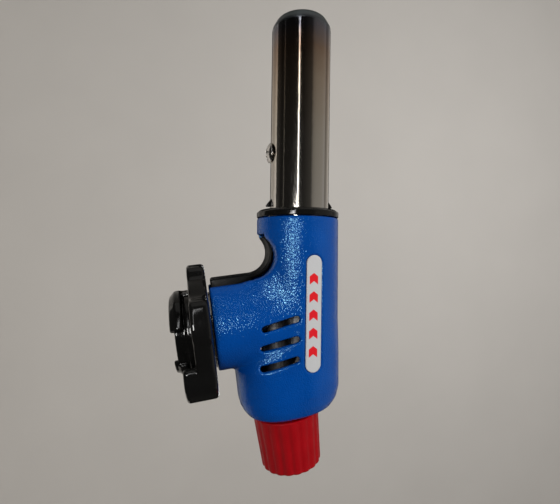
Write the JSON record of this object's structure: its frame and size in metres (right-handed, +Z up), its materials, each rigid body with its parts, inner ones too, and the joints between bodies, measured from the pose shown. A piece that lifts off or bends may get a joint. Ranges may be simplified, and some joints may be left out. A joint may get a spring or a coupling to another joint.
{
  "type": "gas torch head",
  "caption": "Clip-on gas torch head: steel flame tube, two-shell body with finger trigger and piezo igniter, fluted gas knob, and a lobed ring that locks it on a cartridge.",
  "frame": {"origin": "centre of the face of the lock ring that rests on the gas cartridge's collar, on the cartridge axis", "axes": "+Z up along the cartridge axis, away from the cartridge; +X towards the flame, the tube rises 7.6 degrees above it; the gas knob is at -X; +Y is the tool's left side"},
  "size_m": [0.1636, 0.0468, 0.0706],
  "materials": {
    "blue_plastic": "spark-eroded satin",
    "red_plastic": "satin moulded",
    "black_gloss": "gloss moulded",
    "black_satin": "satin moulded",
    "trigger_plastic": "satin moulded",
    "white_plastic": "moulded",
    "label": "printed film",
    "stainless": "polished, heat tinted",
    "zinc_screw": "bright zinc plate",
    "washer_steel": "rolled",
    "steel_wire": "drawn",
    "zinc_casting": "as cast",
    "brass": "turned",
    "sintered_bronze": "sintered",
    "ceramic": "glazed",
    "rubber": "moulded",
    "lead_sleeve": "silicone sleeve"
  },
  "bodies": {
    "housing": {"shell_left": "blue_plastic", "shell_right": "blue_plastic", "shell_screw_1": "zinc_screw", "shell_screw_2": "zinc_screw", "shell_screw_3": "zinc_screw", "shell_screw_4": "zinc_screw", "label_left": "label", "label_right": "label", "front_collar": "black_gloss", "flame_tube": "stainless", "flame_holder": "brass", "flame_holder_screw": "zinc_screw", "mixing_tube": "brass", "tube_socket": "zinc_casting", "gas_jet": "brass", "insulator": "ceramic", "electrode": "steel_wire", "valve_body": "zinc_casting", "inlet_nipple": "brass", "inlet_filter": "sintered_bronze", "inlet_o_ring": "rubber", "seat_gasket": "rubber", "gland_nut": "brass", "cartridge_guide": "black_satin", "ring_washer": "washer_steel", "piezo_body": "black_satin", "return_spring": "steel_wire", "ignition_lead": "lead_sleeve"},
    "knob": {"gas_knob": "red_plastic"},
    "spindle": {"valve_spindle": "brass", "spindle_o_ring": "rubber"},
    "lock": {"lock_ring": "black_gloss"},
    "trigger": {"trigger": "trigger_plastic"},
    "plunger": {"piezo_plunger": "white_plastic"}
  },
  "joints": [
    {"name": "knob_turn", "type": "hinge", "parent": "housing", "child": "knob", "pos_m": [-0.04, 0, 0.0296], "axis": [-1, 0, 0], "range_deg": [0, 540]},
    {"name": "spindle_slide", "type": "slide", "parent": "knob", "child": "spindle", "axis": [-1, 0, 0], "range_m": [0, 0.0015]},
    {"name": "lock_turn", "type": "hinge", "parent": "housing", "child": "lock", "pos_m": [0, 0, 0], "axis": [0, 0, -1], "range_deg": [0, 40]},
    {"name": "trigger_slide", "type": "slide", "parent": "housing", "child": "trigger", "axis": [-1, 0, 0], "range_m": [0, 0.004], "stiffness_N_per_m": 600, "springref_m": -0.003, "deforming": ["return_spring"]},
    {"name": "plunger_slide", "type": "slide", "parent": "housing", "child": "plunger", "axis": [-1, 0, 0], "range_m": [0, 0.004]}
  ],
  "couplings": [
    {"joint": "spindle_slide", "follows": "knob_turn", "m_per_rad": 0.00015915},
    {"joint": "plunger_slide", "follows": "trigger_slide", "ratio": 1}
  ]
}
